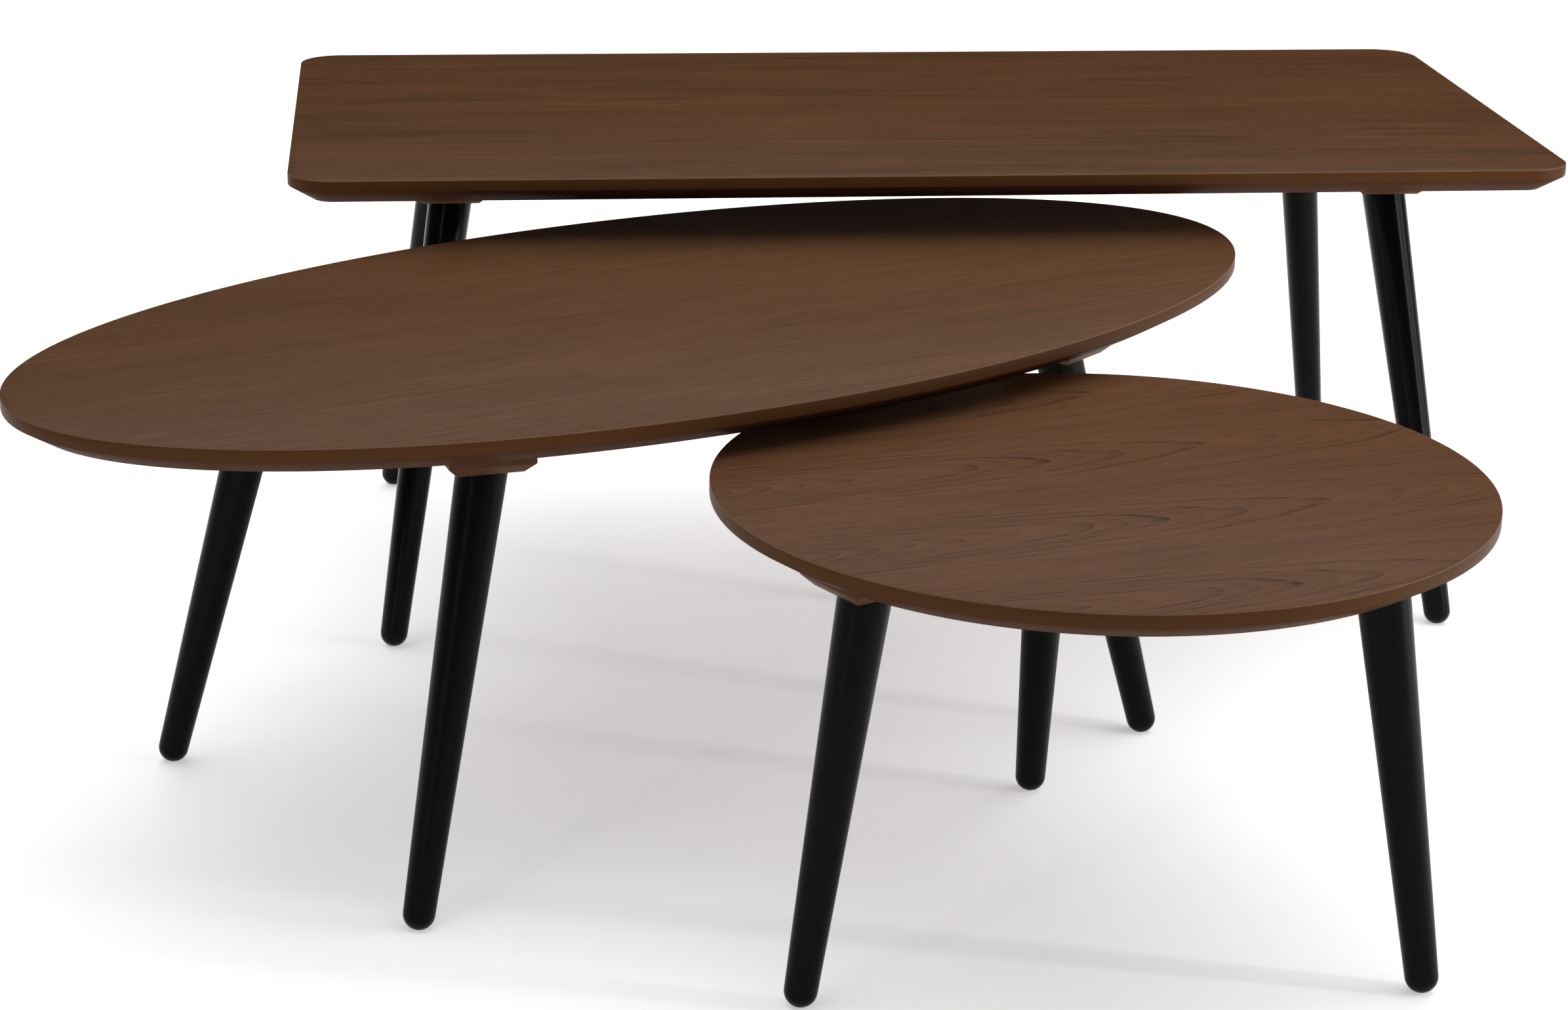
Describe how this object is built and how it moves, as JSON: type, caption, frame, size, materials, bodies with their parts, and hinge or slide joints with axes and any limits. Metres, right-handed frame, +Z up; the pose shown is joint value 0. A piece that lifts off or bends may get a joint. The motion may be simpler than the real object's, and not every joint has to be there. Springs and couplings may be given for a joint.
{
  "type": "nesting tables",
  "caption": "Set of a rectangular, an oval and a round low table of falling height on splayed tapered legs, each tucking partly under the next.",
  "frame": {"origin": "on the floor, at the middle of the outline of the three tables as they stand at rest", "axes": "+X along the rectangular top, +Y from the round table towards the rectangular one, +Z up"},
  "size_m": [1.5293, 1.65, 0.504],
  "materials": {
    "walnut_veneer": "satin lacquered walnut veneer",
    "stained_block": "walnut-stained hardwood",
    "black_lacquer": "semi-gloss black lacquered hardwood",
    "zinc_steel": "zinc-plated steel",
    "yellow_zinc": "yellow zinc-plated insert"
  },
  "bodies": {
    "rectangular_table": {"rectangular_top": "walnut_veneer", "rectangular_block_front_left": "stained_block", "rectangular_leg_front_left": "black_lacquer", "rectangular_bolt_front_left": "zinc_steel", "rectangular_insert_front_left": "yellow_zinc", "rectangular_block_front_right": "stained_block", "rectangular_leg_front_right": "black_lacquer", "rectangular_bolt_front_right": "zinc_steel", "rectangular_insert_front_right": "yellow_zinc", "rectangular_block_rear_left": "stained_block", "rectangular_leg_rear_left": "black_lacquer", "rectangular_bolt_rear_left": "zinc_steel", "rectangular_insert_rear_left": "yellow_zinc", "rectangular_block_rear_right": "stained_block", "rectangular_leg_rear_right": "black_lacquer", "rectangular_bolt_rear_right": "zinc_steel", "rectangular_insert_rear_right": "yellow_zinc"},
    "oval_table": {"oval_top": "walnut_veneer", "oval_block_front_left": "stained_block", "oval_leg_front_left": "black_lacquer", "oval_bolt_front_left": "zinc_steel", "oval_insert_front_left": "yellow_zinc", "oval_block_front_right": "stained_block", "oval_leg_front_right": "black_lacquer", "oval_bolt_front_right": "zinc_steel", "oval_insert_front_right": "yellow_zinc", "oval_block_rear_left": "stained_block", "oval_leg_rear_left": "black_lacquer", "oval_bolt_rear_left": "zinc_steel", "oval_insert_rear_left": "yellow_zinc", "oval_block_rear_right": "stained_block", "oval_leg_rear_right": "black_lacquer", "oval_bolt_rear_right": "zinc_steel", "oval_insert_rear_right": "yellow_zinc"},
    "round_table": {"round_top": "walnut_veneer", "round_block_left": "stained_block", "round_leg_left": "black_lacquer", "round_bolt_left": "zinc_steel", "round_insert_left": "yellow_zinc", "round_block_right": "stained_block", "round_leg_right": "black_lacquer", "round_bolt_right": "zinc_steel", "round_insert_right": "yellow_zinc", "round_block_rear": "stained_block", "round_leg_rear": "black_lacquer", "round_bolt_rear": "zinc_steel", "round_insert_rear": "yellow_zinc"}
  },
  "joints": [
    {"name": "oval_table_slide", "type": "slide", "parent": "rectangular_table", "child": "oval_table", "axis": [-0.8652, -0.5015, 0], "range_m": [-0.19, 0.38]},
    {"name": "round_table_slide", "type": "slide", "parent": "oval_table", "child": "round_table", "axis": [0.8353, -0.5497, 0], "range_m": [-0.15, 0.16]}
  ]
}
